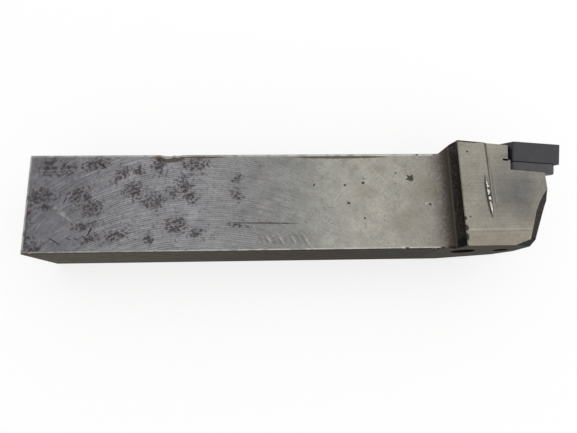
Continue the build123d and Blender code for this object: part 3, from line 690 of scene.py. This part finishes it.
def lock_steel(name, dark, light, roughness):
    """Small steel parts: a dark finish that is rubbed to a lighter one."""
    material, tree, shader, place = start_material(name, 1.0, roughness)
    rubbed = add(tree, "TexNoise", {
        "Vector": place, "Scale": 1 / LOCK_RUBBED, "Detail": 5.0, "Roughness": 0.65,
    })
    thin = add(tree, "MapRange", {0: rubbed, 1: 0.42, 2: 0.7}, **SOFT)
    colour = add(tree, "Mix", {0: thin, 6: linear(dark), 7: linear(light)}, out=2, data_type="RGBA")
    tree.links.new(colour, shader.inputs["Base Color"])
    rough = add(tree, "MapRange", {0: rubbed, 1: 0.3, 2: 0.7, 3: roughness + 0.08, 4: roughness - 0.1})
    tree.links.new(rough, shader.inputs["Roughness"])
    grain = add(tree, "TexNoise", {"Vector": place, "Scale": 1 / LOCK_GRAIN, "Detail": 2.0})
    bump = add(tree, "Bump", {"Height": grain, "Distance": LOCK_RELIEF * MM, "Strength": 1.0})
    tree.links.new(bump, shader.inputs["Normal"])
    return material


paint(parts["lever"], lock_steel("black_oxide_lever_steel", "#2e2b29", "#55504a", 0.45))
screw_steel = lock_steel("black_oxide_screw_steel", "#2a2827", "#4c4845", 0.42)
paint(parts["shim_sleeve"], lock_steel("drawn_spring_steel", "#7a7874", "#a3a09a", 0.35))

# %% [markdown]
# ## The thread of the clamp screw
# The screw has a metric fine thread with a pitch of 1 mm, from its groove to its upper
# end, and its solid part is plain there. Bump would leave the outline smooth, so the
# thread is cut, as on a lathe: a Screw modifier carries a small triangle up a helix,
# and a Boolean takes that ridge away from a copy of the plain screw. The copy first
# loses the fixed normals of the solid, which would shade the new flanks wrongly.

# %% Copy the plain screw
MERGE_WITHIN = 0.001                    # mm; a solid's mesh is loose triangles, joined here


def select_only(piece):
    """Select one piece and make it the active one, which bpy.ops then works on."""
    bpy.ops.object.select_all(action="DESELECT")
    piece.select_set(True)
    bpy.context.view_layer.objects.active = piece


screw = bpy.data.objects.new("threaded_screw", parts["clamp_screw"].data.copy())
bpy.context.scene.collection.objects.link(screw)
select_only(screw)
bpy.ops.mesh.customdata_custom_splitnormals_clear()
bpy.ops.object.mode_set(mode="EDIT")
bpy.ops.mesh.select_all(action="SELECT")
bpy.ops.mesh.remove_doubles(threshold=MERGE_WITHIN * MM)
bpy.ops.object.mode_set(mode="OBJECT")
print("copy of the screw has", len(screw.data.vertices), "vertices")

# %% Find the screw's axis and the length of its thread
END_SLICE = 0.01                        # mm; what lies this low is on the end face
FULL_RADIUS = 0.99                      # share of the radius that counts as threaded

travel = [joint for joint in frame["joints"] if joint["name"] == "screw_travel"][0]
screw_axis = Vector(travel["axis"]).normalized()
points = [vertex.co.copy() for vertex in screw.data.vertices]
heights = [point.dot(screw_axis) for point in points]
tail = [point for point, height in zip(points, heights) if height < min(heights) + END_SLICE * MM]
tail_centre = sum(tail, Vector()) / len(tail)
radii = [(point - tail_centre).cross(screw_axis).length for point in points]
thread_radius = max(radii)
threaded = [height for height, radius in zip(heights, radii) if radius > FULL_RADIUS * thread_radius]
thread_foot = min(threaded) - min(heights)
thread_length = max(heights) - min(threaded)
print("thread is", round(2 * thread_radius / MM, 2), "mm across")
print("thread is", round(thread_length / MM, 1), "mm long")

# %% Sweep a ridge up the helix
THREAD_PITCH = 1.0
THREAD_DEPTH = 0.62
THREAD_FLANK = 30                       # degrees on each side of a V-shaped groove
RIDGE_CLEAR = 0.1                       # how far the ridge stands out of the screw
RUN_OUT = 0.7                           # turns past each end of the thread
STEPS_PER_TURN = 60

ridge_depth = THREAD_DEPTH + RIDGE_CLEAR
ridge_half = ridge_depth * tan(radians(THREAD_FLANK))
ridge_root = thread_radius / MM - THREAD_DEPTH
ridge_foot = thread_foot / MM - RUN_OUT * THREAD_PITCH
bpy.ops.object.select_all(action="DESELECT")
bpy.ops.mesh.primitive_circle_add(vertices=3, radius=THREAD_PITCH * MM)
ridge = bpy.context.active_object
corners = [(0, 0), (ridge_depth, -ridge_half), (ridge_depth, ridge_half)]
for vertex, (out, up) in zip(ridge.data.vertices, corners):
    vertex.co = ((ridge_root + out) * MM, 0, (ridge_foot + up) * MM)
helix = ridge.modifiers.new("helix", "SCREW")
helix.screw_offset = THREAD_PITCH * MM
helix.iterations = ceil(thread_length / MM / THREAD_PITCH + 2 * RUN_OUT)
helix.steps = STEPS_PER_TURN
helix.render_steps = STEPS_PER_TURN
bpy.ops.object.modifier_apply(modifier="helix")
bpy.ops.object.mode_set(mode="EDIT")
bpy.ops.mesh.select_all(action="SELECT")
bpy.ops.mesh.fill_holes(sides=3)
bpy.ops.mesh.normals_make_consistent(inside=False)
bpy.ops.object.mode_set(mode="OBJECT")
ridge.rotation_mode = "QUATERNION"
ridge.rotation_quaternion = screw_axis.to_track_quat("Z", "Y")
ridge.location = tail_centre
bpy.ops.object.transform_apply(location=True, rotation=True, scale=True)
print("ridge makes", len(ridge.data.polygons) // (3 * STEPS_PER_TURN), "turns")

# %% Cut the thread
select_only(screw)
cutting = screw.modifiers.new("cut", "BOOLEAN")
cutting.operation = "DIFFERENCE"
cutting.solver = "EXACT"
cutting.object = ridge
bpy.ops.object.modifier_apply(modifier="cut")
bpy.data.objects.remove(ridge)
bpy.ops.object.shade_smooth_by_angle(angle=radians(THREAD_FLANK))
paint(screw, screw_steel)
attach(screw, "clamp_screw")
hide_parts("clamp_screw")
print("threaded screw has", len(screw.data.polygons), "faces")

# %% [markdown]
# ## The burr on the head
# Something hard has bitten into the side of the head and torn up a ragged ridge. It
# is real relief and catches the light, so it is modelled: a long thin ball, pulled
# about at random like torn metal, and flattened so that it stands a fraction of a
# millimetre proud. It is painted bright on its crests, partly bare torn steel and partly
# painted highlight, and dark between them and low down, partly painted shade.
# The dark gash around it is already in the holder's steel.

# %% Tear up the burr
BURR_WIDTH = 0.72
BURR_HEIGHT = 0.24
BURR_RAG = 0.14                         # how far the points are pulled about
BURR_LEVEL = HEAD_SIDE - 0.02           # its middle lies just inside the steel

bpy.ops.object.select_all(action="DESELECT")
bpy.ops.mesh.primitive_uv_sphere_add(
    segments=12, ring_count=52, radius=1,
    location=(scar_x * MM, scar_y * MM, BURR_LEVEL * MM),
    rotation=(radians(90), 0, radians(scar_turn - 90)),
)
burr = bpy.context.active_object
burr.name = "burr"
burr.scale = (BURR_WIDTH / 2 * MM, BURR_HEIGHT * MM, scar_length / 2 * MM)
bpy.ops.object.transform_apply(location=True, rotation=True, scale=True)
bpy.ops.object.mode_set(mode="EDIT")
bpy.ops.mesh.select_all(action="SELECT")
bpy.ops.transform.vertex_random(offset=BURR_RAG * MM, uniform=0.0, normal=0.3, seed=7)
bpy.ops.object.mode_set(mode="OBJECT")
burr_top = max(vertex.co.z for vertex in burr.data.vertices) / MM
print("burr has", len(burr.data.polygons), "faces and stands", round(burr_top - HEAD_SIDE, 2), "mm proud")

# %% Give the burr its torn steel
NICK_SPACING = 1.11

torn, tree, shader, place = start_material("torn_bright_steel", 1.0, 0.3)
above = add(tree, "SeparateXYZ", {0: place}, out=2)
# bright on the crests, partly torn steel and partly painted highlight; dark low down, partly painted shade
crest_and_glint = add(tree, "MapRange", {0: above, 1: BURR_LEVEL, 2: HEAD_SIDE + 0.1}, **SOFT)
nicks = add(tree, "TexNoise", {"Vector": place, "Scale": 1 / NICK_SPACING, "Detail": 2.0})
crest_and_glint = add(tree, "MapRange", {0: nicks, 1: 0.36, 2: 0.46, 4: crest_and_glint}, **SOFT)
colour = add(tree, "Mix", {0: crest_and_glint, 6: linear("#3a3632"), 7: linear("#cdcac2")}, out=2, data_type="RGBA")
tree.links.new(colour, shader.inputs["Base Color"])
paint(burr, torn)
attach(burr, "holder")

# %% [markdown]
# ## Floor and light
# The bench is a plain pale sheet. Broad soft light comes from all round, with one
# large softbox above, so that the steel shows its lines without hard glare. The level
# is plain: a colour looks about as bright as it was written. To the camera, and in
# reflections, the sheet also glows a little of its own, which keeps it white all over
# and the tool's shadow light.

# %% Lay the floor
FLOOR_SIZE = 3.0                        # metres
FLOOR_GLOW = 0.72                       # share of the floor that is plain white to the eye


def seen_plainly(tree):
    """1 for what is seen straight, in a mirror or through glass, 0 for light that bounces on."""
    rays = add(tree, "LightPath", {}).node.outputs
    seen = 0
    for kind in ("Is Camera Ray", "Is Glossy Ray", "Is Transmission Ray"):
        seen = add(tree, "Math", {0: seen, 1: rays[kind]}, operation="MAXIMUM")
    return seen


bpy.ops.object.select_all(action="DESELECT")
bpy.ops.mesh.primitive_plane_add(size=FLOOR_SIZE, location=(0, 0, 0))
floor = bpy.context.active_object
floor.name = "floor"
paper, tree, shader, place = start_material("pale_matt_paper", 0.0, 0.9)
shader.inputs["Base Color"].default_value = linear("#fbfbfa")
shader.inputs["Specular IOR Level"].default_value = 0.0
share = add(tree, "Math", {0: seen_plainly(tree), 1: FLOOR_GLOW}, operation="MULTIPLY")
glow = add(tree, "Emission", {"Color": (1, 1, 1, 1), "Strength": 1.0})
mixed = add(tree, "MixShader", {0: share, 1: shader.outputs[0], 2: glow})
tree.links.new(mixed, tree.nodes["Material Output"].inputs["Surface"])
paint(floor, paper)
print("floor is", FLOOR_SIZE, "m wide")

# %% Light the room
ROOM_LEVEL = 0.88
SOFTBOX_POWER = 0.8
SOFTBOX_PLACE = (0.17, 0.14, 0.55)
SOFTBOX_SIZE = 0.6

room = bpy.data.worlds.new("room")
bpy.context.scene.world = room
room.use_nodes = True
tree = room.node_tree
strength = add(tree, "MapRange", {0: seen_plainly(tree), 3: ROOM_LEVEL, 4: 1.0})
tree.links.new(strength, tree.nodes["Background"].inputs["Strength"])
tree.nodes["Background"].inputs["Color"].default_value = (1, 1, 1, 1)

softbox = bpy.data.objects.new("softbox", bpy.data.lights.new("softbox", "AREA"))
bpy.context.scene.collection.objects.link(softbox)
softbox.data.energy = SOFTBOX_POWER
softbox.data.size = SOFTBOX_SIZE
softbox.location = SOFTBOX_PLACE
softbox.rotation_euler = (-Vector(SOFTBOX_PLACE)).to_track_quat("-Z", "Y").to_euler()
bpy.context.scene.view_settings.view_transform = "Standard"
print("room at", ROOM_LEVEL, "and softbox at", SOFTBOX_POWER, "watts")

# %% [markdown]
# ## Size
# The dressed tool must fill the same space as its solid parts.
